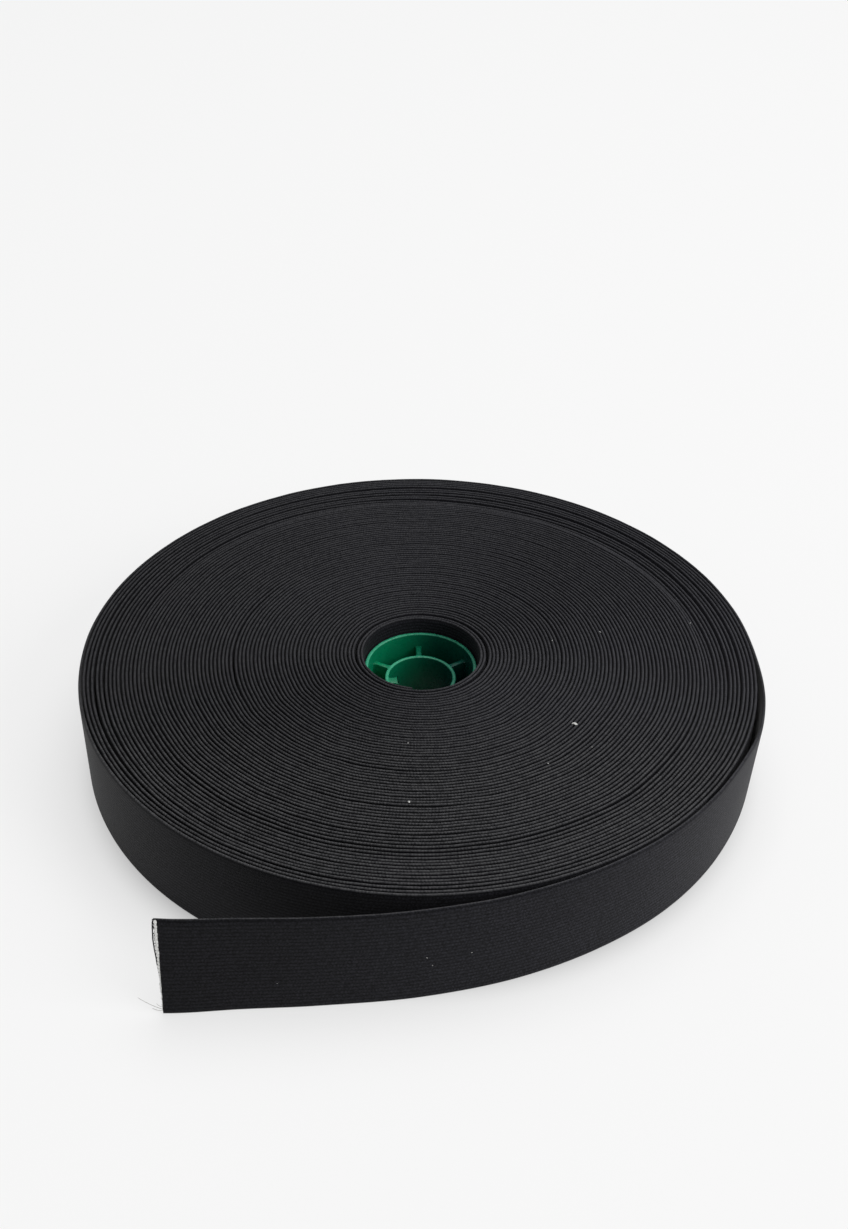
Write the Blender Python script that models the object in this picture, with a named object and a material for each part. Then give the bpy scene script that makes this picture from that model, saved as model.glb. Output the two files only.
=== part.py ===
"""Roll of black elastic, lying flat, on a small moulded core.

Run with:  blender --background --python part.py

Three pieces, each one closed body:
  wound_roll  the wound band as one ring with its raised and sunken groups of turns
  loose_end   the outermost length of band, which peels off and stands on its edge
  core        the moulded plastic reel core inside the roll

Metres, +Z up.  The pieces are modelled about the core's axis.  An empty then carries them so
that the origin is at the middle of the whole model's footprint, on the surface it lies on.
"""

import math

import bmesh
import bpy
from mathutils import Matrix, Vector

# ---------------------------------------------------------------- driving dimensions (metres)

BAND_WIDTH = 0.0400         # width of the elastic, and so the height of the roll on its side
BAND_THICKNESS = 0.0013     # one layer of the loose end
TURN_PITCH = 0.00158        # how much each turn adds to the radius
PIECE_GAP = 0.0004          # clear space between neighbouring pieces

ROLL_RADIUS = 0.1372        # outside of the last turn, where the loose end leaves it
ROLL_SHIFT = Vector((-0.0006, 0.0017, 0.0))   # the rim's centre seen from the core's axis
ROLL_SECTIONS = 120         # sections round the roll

CORE_RADIUS = 0.0228        # outside of the core's outer tube
CORE_HEIGHT = 0.0325        # the core is narrower than the band
CORE_WALL = 0.0014
CORE_RIM_CHAMFER = 0.0003
CORE_SIDES = 72

HUB_RADIUS = 0.0145         # outside of the inner tube that takes the spindle
HUB_HEIGHT = 0.0208
HUB_BASE = 0.0058           # the hub and its spokes are sunk by this much at both ends

SPOKE_COUNT = 6
SPOKE_THICKNESS = 0.0020
SPOKE_FIRST_ANGLE = math.radians(33.0)
SPOKE_BITE = 0.0006         # how far a spoke runs into each tube wall

KEY_ANGLE = math.radians(187.0)   # the drive key inside the hub
KEY_REACH = 0.0038          # from the hub's bore wall inwards
KEY_WIDTH = 0.0036
KEY_DROP = 0.0010           # its top lies this far below the hub's

PEEL_ANGLE = math.radians(-8.0)   # where the loose end leaves the roll, seen from the rim's centre
LOOSE_STEP = 0.0055         # length of one section of the loose end

# Groups of turns across the wound face, from the bore outwards.  The innermost turns stand
# apart behind a narrow gap.  A wide flat ring follows, then a shallow valley and a raised rim.
# Columns: radius of the edge, height of the face there.
FACE_RINGS = (
    (CORE_RADIUS + PIECE_GAP, 0.0394),
    (0.0264, 0.0394),
    (0.0265, 0.0376),
    (0.0271, 0.0376),
    (0.0272, 0.0400),
    (0.1130, 0.0400),
    (0.1165, 0.0392),
    (0.1225, 0.0391),
    (0.1250, 0.0397),
    (0.1265, 0.0393),
    (0.1285, 0.0393),
    (0.1295, 0.0400),
)

# The loose end seen from the rim's centre, from where it peels off to its cut end.  It goes
# clockwise, hugs the roll, then runs out almost straight.
# Columns: plan angle in degrees, radius of the outer face at mid height, and how far the top
# edge stands outside the bottom edge.
LOOSE_PATH = (
    (-8.6, 0.13745, 0.0000),
    (-13.0, 0.13850, 0.0009),
    (-20.0, 0.13860, 0.0017),
    (-28.0, 0.13800, 0.0007),
    (-38.0, 0.13780, -0.0001),
    (-50.0, 0.13800, -0.0005),
    (-62.0, 0.13840, -0.0009),
    (-75.0, 0.14020, -0.0016),
    (-89.0, 0.14420, -0.0023),
    (-103.0, 0.15230, -0.0029),
    (-112.0, 0.16150, -0.0040),
    (-119.25, 0.17300, -0.0055),
)


# ---------------------------------------------------------------- scene and materials

def clear_scene():
    """Remove every object that the file opened with."""
    for item in list(bpy.data.objects):
        bpy.data.objects.remove(item, do_unlink=True)


def plain_material(name, colour, roughness):
    """A Principled material of one colour."""
    material = bpy.data.materials.new(name)
    material.use_nodes = True
    shader = material.node_tree.nodes["Principled BSDF"]
    shader.inputs["Base Color"].default_value = (*colour, 1.0)
    shader.inputs["Roughness"].default_value = roughness
    shader.inputs["Metallic"].default_value = 0.0
    return material


def finish_object(bm, name, material):
    """Turn a bmesh into a named object with outward faces and its own material."""
    bmesh.ops.recalc_face_normals(bm, faces=bm.faces)
    mesh = bpy.data.meshes.new(name)
    bm.to_mesh(mesh)
    bm.free()
    mesh.materials.append(material)
    mesh.shade_smooth()
    mesh.set_sharp_from_angle(angle=math.radians(30.0))
    item = bpy.data.objects.new(name, mesh)
    bpy.context.collection.objects.link(item)
    return item


# ---------------------------------------------------------------- wound roll

def shifted_ring_point(radius, angle, height):
    """A point of the roll, whose rings shift from the core's axis to the rim's centre."""
    bore = FACE_RINGS[0][0]
    share = (radius - bore) / (ROLL_RADIUS - bore)
    flat = Vector((radius * math.cos(angle), radius * math.sin(angle), height))
    return flat + ROLL_SHIFT * share


def build_wound_roll(material):
    """One ring: the face's groups of turns, a flat underside and a rim that grows by one turn."""
    first_radius = ROLL_RADIUS - TURN_PITCH
    profile = list(FACE_RINGS)
    profile.append((first_radius, BAND_WIDTH))
    profile.append((first_radius, 0.0))
    profile.append((FACE_RINGS[0][0], 0.0))

    bm = bmesh.new()
    start = Matrix.Rotation(PEEL_ANGLE, 3, "Z")
    corners = [bm.verts.new(start @ Vector((radius, 0.0, height))) for radius, height in profile]
    edges = [bm.edges.new((a, b)) for a, b in zip(corners, corners[1:] + corners[:1])]
    spun = bmesh.ops.spin(bm, geom=corners + edges, cent=(0.0, 0.0, 0.0), axis=(0.0, 0.0, -1.0),
                          angle=2.0 * math.pi, steps=ROLL_SECTIONS, use_merge=False)
    last_section = {v for v in spun["geom_last"] if isinstance(v, bmesh.types.BMVert)}

    # The rim grows by one turn on the way round, which leaves a step where the last turn peels.
    rim = [v for v in bm.verts if v.co.xy.length > first_radius - 0.5 * TURN_PITCH]
    rim_of_last = [v for v in rim if v in last_section]
    for vert in rim:
        angle = math.atan2(vert.co.y, vert.co.x)
        turned = (PEEL_ANGLE - angle) % (2.0 * math.pi) / (2.0 * math.pi)
        if vert in last_section:
            turned = 1.0
        elif turned > 1.0 - 0.5 / ROLL_SECTIONS:
            turned = 0.0
        radius = first_radius + TURN_PITCH * turned
        vert.co.xy = (radius * math.cos(angle), radius * math.sin(angle))

    # The step's foot is a corner in the faces above and below it.
    foot_share = TURN_PITCH / (ROLL_RADIUS - FACE_RINGS[-1][0])
    floor_share = TURN_PITCH / (ROLL_RADIUS - FACE_RINGS[0][0])
    for vert in rim_of_last:
        share = foot_share if vert.co.z > 0.0 else floor_share
        radial = [e for e in vert.link_edges
                  if abs(e.other_vert(vert).co.xy.length - vert.co.xy.length) > TURN_PITCH
                  and e.other_vert(vert) in last_section]
        bmesh.utils.edge_split(radial[0], vert, share)

    for vert in bm.verts:
        radius = vert.co.xy.length
        angle = math.atan2(vert.co.y, vert.co.x)
        vert.co = shifted_ring_point(radius, angle, vert.co.z)
    bmesh.ops.remove_doubles(bm, verts=bm.verts, dist=1.0e-6)
    open_edges = [e for e in bm.edges if e.is_boundary]
    bmesh.ops.holes_fill(bm, edges=open_edges, sides=4)
    return finish_object(bm, "wound_roll", material)


# ---------------------------------------------------------------- loose end

def smooth_row(rows, at):
    """Read the rows of a table as smooth curves over their first column, at one value."""
    keys = [row[0] for row in rows]
    index = max(i for i in range(len(rows) - 1) if at <= keys[i])

    def slope(i, column):
        low = max(i - 1, 0)
        high = min(i + 1, len(rows) - 1)
        return (rows[high][column] - rows[low][column]) / (keys[high] - keys[low])

    span = keys[index + 1] - keys[index]
    t = (at - keys[index]) / span
    values = []
    for column in range(1, len(rows[0])):
        a = rows[index][column]
        b = rows[index + 1][column]
        slope_a = slope(index, column) * span
        slope_b = slope(index + 1, column) * span
        values.append(a * (2 * t**3 - 3 * t**2 + 1) + slope_a * (t**3 - 2 * t**2 + t)
                      + b * (3 * t**2 - 2 * t**3) + slope_b * (t**3 - t**2))
    return values


def loose_end_sections():
    """Outer-face points at mid height, outward plan normals and leans, one per section."""
    first = LOOSE_PATH[0][0]
    last = LOOSE_PATH[-1][0]
    fine = 600
    points = []
    leans = []
    for i in range(fine + 1):
        degrees = first + (last - first) * i / fine
        radius, lean = smooth_row(LOOSE_PATH, degrees)
        angle = math.radians(degrees)
        points.append(Vector((radius * math.cos(angle), radius * math.sin(angle), 0.0)))
        leans.append(lean)

    travelled = [0.0]
    for a, b in zip(points, points[1:]):
        travelled.append(travelled[-1] + (b - a).length)
    count = round(travelled[-1] / LOOSE_STEP)
    sections = []
    for k in range(count + 1):
        goal = travelled[-1] * k / count
        i = min(range(fine + 1), key=lambda j: abs(travelled[j] - goal))
        along = (points[min(i + 1, fine)] - points[max(i - 1, 0)]).normalized()
        normal = Vector((along.y, -along.x, 0.0))
        if normal.dot(points[i]) < 0.0:
            normal.negate()
        sections.append((points[i] + ROLL_SHIFT, normal, leans[i]))
    return sections


def build_loose_end(material):
    """A strip of even thickness that stands on its edge."""
    bm = bmesh.new()
    rings = []
    for middle, normal, lean in loose_end_sections():
        foot = middle - normal * lean / 2.0
        top = middle + normal * lean / 2.0 + Vector((0.0, 0.0, BAND_WIDTH))
        inwards = -normal * BAND_THICKNESS
        corners = (foot, top, top + inwards, foot + inwards)
        rings.append([bm.verts.new(corner) for corner in corners])
    for here, there in zip(rings, rings[1:]):
        for i in range(4):
            j = (i + 1) % 4
            bm.faces.new((here[i], here[j], there[j], there[i]))
    bm.faces.new(rings[0])
    bm.faces.new(rings[-1])
    return finish_object(bm, "loose_end", material)


# ---------------------------------------------------------------- core

def turned_tube(name, outer, inner, base, height, chamfer, material):
    """A tube about the core's axis with its four rims chamfered."""
    top = base + height
    profile = (
        (outer, base + chamfer), (outer, top - chamfer), (outer - chamfer, top),
        (inner + chamfer, top), (inner, top - chamfer), (inner, base + chamfer),
        (inner + chamfer, base), (outer - chamfer, base),
    )
    bm = bmesh.new()
    corners = [bm.verts.new((radius, 0.0, height_here)) for radius, height_here in profile]
    edges = [bm.edges.new((a, b)) for a, b in zip(corners, corners[1:] + corners[:1])]
    bmesh.ops.spin(bm, geom=corners + edges, cent=(0.0, 0.0, 0.0), axis=(0.0, 0.0, 1.0),
                   angle=2.0 * math.pi, steps=CORE_SIDES, use_merge=True)
    bmesh.ops.remove_doubles(bm, verts=bm.verts, dist=1.0e-6)
    return finish_object(bm, name, material)


def radial_block(name, near, far, width, base, top, angle, material):
    """An upright block that runs outwards from the core's axis."""
    bm = bmesh.new()
    bmesh.ops.create_cube(bm, size=1.0)
    bmesh.ops.scale(bm, vec=(far - near, width, top - base), verts=bm.verts)
    bmesh.ops.translate(bm, vec=((near + far) / 2.0, 0.0, (base + top) / 2.0), verts=bm.verts)
    bmesh.ops.rotate(bm, cent=(0.0, 0.0, 0.0), matrix=Matrix.Rotation(angle, 3, "Z"),
                     verts=bm.verts)
    return finish_object(bm, name, material)


def build_core(material):
    """Outer tube, hub, spokes and key, joined into one moulding."""
    core = turned_tube("core", CORE_RADIUS, CORE_RADIUS - CORE_WALL, 0.0, CORE_HEIGHT,
                       CORE_RIM_CHAMFER, material)
    hub_top = HUB_BASE + HUB_HEIGHT
    hub_bore = HUB_RADIUS - CORE_WALL
    joined = [turned_tube("hub_form", HUB_RADIUS, hub_bore, HUB_BASE, HUB_HEIGHT,
                          CORE_RIM_CHAMFER, material)]
    for i in range(SPOKE_COUNT):
        angle = SPOKE_FIRST_ANGLE + i * 2.0 * math.pi / SPOKE_COUNT
        joined.append(radial_block(f"spoke_form_{i + 1}", HUB_RADIUS - SPOKE_BITE,
                                   CORE_RADIUS - CORE_WALL + SPOKE_BITE, SPOKE_THICKNESS,
                                   HUB_BASE + CORE_RIM_CHAMFER, hub_top - CORE_RIM_CHAMFER,
                                   angle, material))
    joined.append(radial_block("key_form", hub_bore - KEY_REACH, hub_bore + SPOKE_BITE, KEY_WIDTH,
                               HUB_BASE + KEY_DROP, hub_top - KEY_DROP, KEY_ANGLE, material))
    for form in joined:
        form.hide_render = True
        form.display_type = "WIRE"
        union = core.modifiers.new(form.name, "BOOLEAN")
        union.operation = "UNION"
        union.solver = "EXACT"
        union.object = form
    return core, joined


# ---------------------------------------------------------------- assembly

def stand_on_origin(pieces, followers):
    """Carry everything on an empty so that the origin is under the middle of the model."""
    corners = [v.co for piece in pieces for v in piece.data.vertices]
    low = [min(c[i] for c in corners) for i in range(3)]
    high = [max(c[i] for c in corners) for i in range(3)]
    carrier = bpy.data.objects.new("roll_of_elastic", None)
    bpy.context.collection.objects.link(carrier)
    carrier.location = (-(low[0] + high[0]) / 2.0, -(low[1] + high[1]) / 2.0, -low[2])
    for piece in pieces + followers:
        piece.parent = carrier


def main():
    """Build the roll."""
    clear_scene()
    wound = build_wound_roll(plain_material("wound_elastic", (0.012, 0.012, 0.014), 0.80))
    loose = build_loose_end(plain_material("loose_elastic", (0.012, 0.012, 0.014), 0.80))
    core, forms = build_core(plain_material("green_plastic", (0.004, 0.150, 0.075), 0.35))
    stand_on_origin([wound, loose, core], forms)
    bpy.context.view_layer.update()


main()
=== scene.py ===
"""Roll of elastic: a ribbed black band wound on a green moulded core, its end running loose.

The file is laid out as a Blender add-on and is run as a script.  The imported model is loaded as
a fixed frame, and every piece is built around it, in metres, in the frame's own coordinates.
"""

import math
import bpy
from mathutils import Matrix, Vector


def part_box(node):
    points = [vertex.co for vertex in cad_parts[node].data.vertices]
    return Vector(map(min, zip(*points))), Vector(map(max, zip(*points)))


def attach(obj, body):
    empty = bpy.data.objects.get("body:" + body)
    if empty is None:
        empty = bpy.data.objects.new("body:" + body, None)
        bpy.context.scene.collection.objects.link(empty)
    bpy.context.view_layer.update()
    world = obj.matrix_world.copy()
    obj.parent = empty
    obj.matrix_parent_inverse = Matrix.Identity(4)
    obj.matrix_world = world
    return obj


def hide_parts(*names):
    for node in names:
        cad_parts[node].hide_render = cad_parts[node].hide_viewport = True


bl_info = {
    "name": "Roll of Elastic",
    "version": (1, 0, 0),
    "blender": (4, 5, 0),
    "location": "View3D > Sidebar > Elastic",
    "description": "Winds a roll of ribbed elastic on its core and lays out its loose end",
    "category": "Object",
}

import bmesh
import bpy
import numpy as np
from bpy.props import FloatProperty, FloatVectorProperty, IntProperty, PointerProperty
from mathutils import Matrix, Vector

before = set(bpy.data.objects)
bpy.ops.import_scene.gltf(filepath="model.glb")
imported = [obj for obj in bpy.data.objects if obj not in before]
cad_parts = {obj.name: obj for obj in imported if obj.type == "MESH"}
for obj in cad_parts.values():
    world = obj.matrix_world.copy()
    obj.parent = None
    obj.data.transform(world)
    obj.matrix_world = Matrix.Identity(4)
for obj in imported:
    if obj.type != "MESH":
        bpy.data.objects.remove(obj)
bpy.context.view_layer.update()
CORE_LOW, CORE_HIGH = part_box("core")
ROLL_LOW, ROLL_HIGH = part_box("wound_roll")
LOOSE_LOW, LOOSE_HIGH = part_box("loose_end")

MM = 0.001
FULL_TURN = 2.0 * math.pi
AXIS = (CORE_LOW + CORE_HIGH) / 2.0          # a point on the core's axis
PEEL_ANGLE = math.radians(-8.0)              # where the loose end leaves the roll
LOOSE_START = 328.0 / 360.0                  # turns before the peel where the loose band begins
JOINT_FADE = 0.020                           # over which the unevenness calms before a joint
LEAST_PITCH = 0.90                           # pitch of the tightest turns, in thicknesses
GAP_TURNS = 0.12                             # turns over which the innermost gap opens
WOUND_SAMPLES = 60000                        # points at which the wound path is worked out
LOOSE_SAMPLES = 12000                        # the same for the loose band's path
WOUND_STEP = 0.0031                          # between sections of the loose band on the roll
LOOSE_STEP = 0.0019                          # between sections where it runs loose
TOUCHING = 1.0e-7                            # places closer than this count as one
SEED = 4021

# Unevenness along the band.  Columns: wavelength and size in millimetres, and what is added to
# the seed of its random draw.
LIFT_WAVES = ((90.0, 0.25, 0),)
TOP_WAVES = ((55.0, 0.10, 1), (4.2, 0.05, 2))
LEAN_WAVES = ((21.0, 0.09, 3), (3.6, 0.05, 4))
LOOSE_LEAN_WAVES = ((19.0, 0.08, 11),)
LOOSE_TOP_WAVES = ((5.2, 0.05, 12),)

# Gaps that opened between turns while the band was wound.
# Columns: share of the roll's radius, middle of the gap in degrees, its half length in degrees,
# and its width in millimetres.
WINDING_GAPS = (
    (0.938, 50.0, 80.0, 0.50),
    (0.906, 52.0, 73.0, 0.46),
    (0.870, 120.0, 60.0, 0.45),
    (0.826, 275.0, 75.0, 0.40),
    (0.779, 262.0, 24.0, 0.35),
    (0.751, 130.0, 26.0, 0.30),
    (0.687, 132.0, 26.0, 0.30),
    (0.677, 260.0, 20.0, 0.35),
    (0.557, 172.0, 38.0, 0.35),
    (0.533, 262.0, 20.0, 0.45),
    (0.955, 275.0, 35.0, 0.30),
    (0.610, 330.0, 30.0, 0.25),
    (0.420, 20.0, 40.0, 0.25),
    (0.330, 230.0, 40.0, 0.25),
    (0.948, 190.0, 50.0, 0.36),
    (0.920, 178.0, 45.0, 0.30),
)

# How far the wound face lies below the rim.  Columns: share of the radius, drop in millimetres.
FACE_DROP = (
    (0.170, 0.70), (0.300, 0.45), (0.800, 0.40), (0.828, 0.45), (0.848, 1.25), (0.868, 1.35),
    (0.872, 0.95), (0.904, 0.90), (0.908, 0.50), (0.936, 0.50), (0.940, 0.00), (1.000, 0.00),
)
DEEPEST_ANGLE = 75.0                         # plan angle, in degrees, where it lies lowest

# Where the face sinks further.  The least drop that sinks, in millimetres, the share that is
# added to what lies beyond it, and the middle and half length of the arc in degrees.
SUNKEN_RING = (0.55, 1.1, 40.0, 62.0)

# Places where neighbouring turns bulge together.  Columns: angle in degrees at the bore, how
# many degrees it drifts out to the rim, half length in degrees, and bulge in millimetres.
WINDING_BULGES = (
    (205.0, 18.0, 5.0, 0.45),
    (232.0, 12.0, 3.5, -0.30),
    (250.0, 5.0, 4.0, 0.35),
    (286.0, -8.0, 4.0, -0.40),
    (303.0, 10.0, 5.0, 0.45),
    (331.0, -6.0, 6.0, -0.35),
    (20.0, 15.0, 9.0, 0.30),
    (78.0, -10.0, 8.0, -0.25),
    (140.0, 8.0, 7.0, 0.35),
)

# The loose end seen from the rim's centre, clockwise from the roll to its cut end.
# Columns: plan angle in degrees, radius of the outer face at mid height, and how far the top
# edge stands outside the bottom edge, both in millimetres.
LOOSE_PATH = (
    (-13.0, 138.50, 0.9),
    (-20.0, 138.60, 1.7),
    (-28.0, 138.00, 0.7),
    (-38.0, 137.80, -0.1),
    (-50.0, 138.00, -0.5),
    (-62.0, 138.40, -0.9),
    (-75.0, 140.20, -1.6),
    (-89.0, 144.20, -2.3),
    (-103.0, 152.30, -2.9),
    (-112.0, 161.50, -4.0),
    (-119.25, 173.00, -5.5),
)

# Turns before the peel at which the outermost turn's radius is set.
ROLL_KEYS = (-1.2, -0.6, -0.3, -0.15, -0.06, -0.02)

# Shape of the cut: heights, then how far the inner face reaches past the outer one there, and
# heights, then how far the cut lies behind the end of the route there, all in millimetres.
CUT_SKEW = ((6.0, 31.0), (0.0, 1.9))
CUT_SLOPE = ((0.0, 36.0), (0.20, 0.82))
CUT_RAGGED = 0.27

# Lint caught on the wound face.  Columns: distance from the rim's centre as a share of the
# radius, plan angle in degrees, length and width in millimetres.
FACE_LINT = (
    (0.551, 322.1, 2.3, 1.10),
    (0.662, 268.1, 0.9, 0.75),
    (0.429, 266.3, 0.6, 0.42),
    (0.643, 317.4, 0.5, 0.26),
    (0.614, 304.7, 0.6, 0.38),
    (0.400, 7.1, 0.5, 0.34),
    (0.553, 10.0, 0.8, 0.40),
    (0.838, 10.2, 0.6, 0.26),
)

# Lint caught on the loose end.  Columns: distance from the cut end, height, length and width,
# all in millimetres.
BAND_LINT = (
    (89.6, 18.8, 0.5, 0.34),
    (92.0, 14.9, 0.6, 0.26),
    (105.4, 18.0, 0.5, 0.30),
    (39.5, 11.7, 0.4, 0.13),
)

# The yarn that frays from the cut: the height where it leaves, how far down it comes, how far
# it bows and its radius, all in millimetres.
FRAY_TOP = 38.9
FRAY_LENGTH = 28.0
FRAY_BOW = 0.35
FRAY_RADIUS = 0.22

# Fibres that stray from the cut.  Columns: height, place towards the outer face, reach past the
# cut, climb and radius, all in millimetres.
STRAY_FIBRES = (
    (1.6, 0.2, 9.2, 2.2, 0.075),
    (0.9, -0.2, 4.2, -0.5, 0.060),
    (2.6, 0.0, 2.6, 0.6, 0.055),
    (31.0, -0.3, 1.6, 0.8, 0.050),
)

# Scales of noise, as features to the metre, and the length of one stitch of the selvedge.
FIBRE_SCALE = 5200.0
MOULDING_SCALE = 3000.0
FLECK_SCALE = 2400.0
GRAIN_SCALE = 1300.0
CLUMP_SCALE = 620.0
SCUFF_SCALE = 420.0
SWIRL_SCALE = 55.0
BROAD_SCALE = 26.0
SELVEDGE_STITCH = 0.00125

# The core's mesh: sides of a tube, how much its rims and ribs are rounded, how far a rib sinks
# into the tubes, and the key's reach and width, in metres.
TUBE_SIDES = 168
RIM_ROUNDING = 0.0004
RIB_ROUNDING = 0.0003
OVERLAP = 0.0006
KEY_REACH = 0.0038
KEY_WIDTH = 0.0036

# Soft lights.  Columns: name, place and size in metres, and power in watts.
SOFTBOXES = (
    ("overhead", (0.9, 1.5, 6.0), 6.0, 330.0),
    ("side", (2.2, -0.9, 1.4), 1.6, 32.0),
)
FLOOR_SIZE = 6.0
WORLD_AS_LIGHT = 0.25
WORLD_AS_BACKDROP = 0.90


# ---------------------------------------------------------------- settings

class ElasticBandSettings(bpy.types.PropertyGroup):
    """Sizes of the elastic band itself."""

    width: FloatProperty(name="Width", description="Width of the band across its ribs",
        default=LOOSE_HIGH.z - LOOSE_LOW.z, unit="LENGTH")
    thickness: FloatProperty(name="Thickness", description="Thickness of one layer of band",
        default=0.00142, unit="LENGTH")
    crown: FloatProperty(name="Edge Crown", description="Height of the rounded selvedge",
        default=0.0009, unit="LENGTH")
    ribs: IntProperty(name="Ribs", description="Ribs across the face, selvedges left out",
        default=25)
    rib_depth: FloatProperty(name="Rib Depth", description="Depth of the groove between ribs",
        default=0.00002, unit="LENGTH")
    stitch: FloatProperty(name="Stitch Length", description="Length of one stitch along a rib",
        default=0.00115, unit="LENGTH")


class ElasticRollSettings(bpy.types.PropertyGroup):
    """Sizes of the wound roll."""

    pitch: FloatProperty(name="Turn Pitch", description="Radius that each turn adds",
        default=0.00158, unit="LENGTH")
    bore: FloatProperty(name="Bore Radius", description="Inner face of the innermost turn",
        default=0.0231, unit="LENGTH")
    inner_turns: FloatProperty(name="Innermost Turns",
        description="Turns that lie tight on the core, inside the gap", default=1.9)
    inner_gap: FloatProperty(name="Innermost Gap",
        description="Gap outside the turns that lie tight on the core", default=0.0007,
        unit="LENGTH")
    start_angle: FloatProperty(name="Start Angle", description="Plan angle where the band starts",
        default=math.radians(262.0), unit="ROTATION")
    pieces: IntProperty(name="Pieces", description="Lengths that the wound turns are split in",
        default=3)
    station: FloatProperty(name="Station Step",
        description="Length of band between two sections of the mesh", default=0.00121,
        unit="LENGTH")


class ElasticCoreSettings(bpy.types.PropertyGroup):
    """Sizes of the moulded core."""

    wall: FloatProperty(name="Wall", description="Thickness of both tubes", default=0.0014,
        unit="LENGTH")
    hub_radius: FloatProperty(name="Hub Radius", description="Outside of the inner tube",
        default=0.0145, unit="LENGTH")
    hub_recess: FloatProperty(name="Hub Recess", description="How far the hub is sunk",
        default=0.0058, unit="LENGTH")
    spokes: IntProperty(name="Spokes", description="Number of spokes", default=6)
    spoke_width: FloatProperty(name="Spoke Width", description="Thickness of one spoke",
        default=0.0020, unit="LENGTH")
    first_spoke: FloatProperty(name="First Spoke", description="Plan angle of the first spoke",
        default=math.radians(33.0), unit="ROTATION")
    key_angle: FloatProperty(name="Key Angle", description="Plan angle of the drive key",
        default=math.radians(187.0), unit="ROTATION")


class ElasticFinishSettings(bpy.types.PropertyGroup):
    """Colours of the yarn, the rubber, the core and the lint."""

    yarn_dark: FloatVectorProperty(name="Yarn, Dark", description="Between the stitches",
        subtype="COLOR", default=(0.0022, 0.0022, 0.0027))
    yarn_light: FloatVectorProperty(name="Yarn, Light", description="On top of the stitches",
        subtype="COLOR", default=(0.0062, 0.0062, 0.0077))
    # Painted highlight: the paler colour given to the selvedge's crown where light catches it.
    crown_painted_highlight: FloatVectorProperty(name="Edge Yarn", description="Looser yarn of the selvedge",
        subtype="COLOR", default=(0.074, 0.074, 0.077))
    rubber: FloatVectorProperty(name="Rubber", description="Rubber threads at the cut end",
        subtype="COLOR", default=(0.90, 0.90, 0.88))
    # Painted light: the next colour is the core where light falls, on its left side, and the one
    # after it the core in painted shade, on its right.
    plastic: FloatVectorProperty(name="Plastic", description="Moulded core, faded side",
        subtype="COLOR", default=(0.001, 0.190, 0.085))
    plastic_in_painted_shade: FloatVectorProperty(name="Plastic, Deep", description="Core, unfaded side",
        subtype="COLOR", default=(0.001, 0.042, 0.033))
    # Painted highlight along the core's rims, where the thin plastic catches the light.
    plastic_rim_highlight: FloatVectorProperty(name="Plastic, Edge",
        description="Core where its rims are rubbed and thin", subtype="COLOR",
        default=(0.040, 0.330, 0.190))
    floor: FloatVectorProperty(name="Floor", description="Pale studio floor", subtype="COLOR",
        default=(0.31, 0.31, 0.31))
    floor_glow: FloatProperty(name="Floor Glow", description="Strength of the floor's own glow",
        default=0.601)


class ElasticStageSettings(bpy.types.PropertyGroup):
    """Camera and lights."""

    lens: FloatProperty(name="Lens", description="Focal length in millimetres on 36 mm",
        default=42.53)
    camera_back: FloatProperty(name="Camera Back", description="Distance in front of the roll",
        default=0.4722, unit="LENGTH")
    camera_up: FloatProperty(name="Camera Height", description="Height above the floor",
        default=0.3947, unit="LENGTH")
    camera_pitch: FloatProperty(name="Camera Pitch", description="Angle below the horizon",
        default=math.radians(35.58), unit="ROTATION")
    camera_yaw: FloatProperty(name="Camera Yaw", description="Angle towards +X",
        default=math.radians(0.20), unit="ROTATION")
    camera_roll: FloatProperty(name="Camera Roll", description="Tilt of the horizon",
        default=math.radians(0.88), unit="ROTATION")


# ---------------------------------------------------------------- curves and noise

def smooth_curve(keys, values, at):
    """A smooth curve through the values at rising keys, read at an array of places."""
    keys = np.asarray(keys, float)
    values = np.asarray(values, float)
    slopes = np.gradient(values, keys)
    i = np.clip(np.searchsorted(keys, at, side="right") - 1, 0, len(keys) - 2)
    span = keys[i + 1] - keys[i]
    t = np.clip((at - keys[i]) / span, 0.0, 1.0)
    rise = t * t * (3.0 - 2.0 * t)
    return (values[i] * (1.0 - rise) + values[i + 1] * rise
            + span * t * (1.0 - t) * (slopes[i] * (1.0 - t) - slopes[i + 1] * t))


def smooth_step(edge, softness, at):
    """Rises from 0 to 1 over softness, centred on edge."""
    t = np.clip((at - edge) / softness + 0.5, 0.0, 1.0)
    return t * t * (3.0 - 2.0 * t)


def angle_bump(angle, middle, half):
    """1 in the middle of an arc of the circle, fading to 0 at its two ends, in degrees."""
    away = np.abs((angle - middle + 180.0) % 360.0 - 180.0)
    return 1.0 - smooth_step(half * 0.8, half * 0.5, away)


def drift_noise(at, seed):
    """Random values from -1 to 1 at whole numbers, joined smoothly."""
    low = int(np.floor(at.min()))
    values = np.random.default_rng(seed).uniform(-1.0, 1.0, int(at.max()) - low + 3)
    i = np.floor(at).astype(int) - low
    t = at - np.floor(at)
    t = t * t * (3.0 - 2.0 * t)
    return values[i] * (1.0 - t) + values[i + 1] * t


def waves(travelled, table):
    """Smooth random waves along the band, summed from a table of them, in metres."""
    return sum(drift_noise(travelled / (length * MM), SEED + draw) * size * MM
               for length, size, draw in table)


# ---------------------------------------------------------------- mesh tools

def skin_rings(path, normals, side, height):
    """Rings of points along a plan path, given each point's offset along the path's normal
    and its height."""
    rings = np.empty((*side.shape, 3))
    rings[..., :2] = path[:, None] + normals[:, None] * side[..., None]
    rings[..., 2] = height
    return rings


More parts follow.
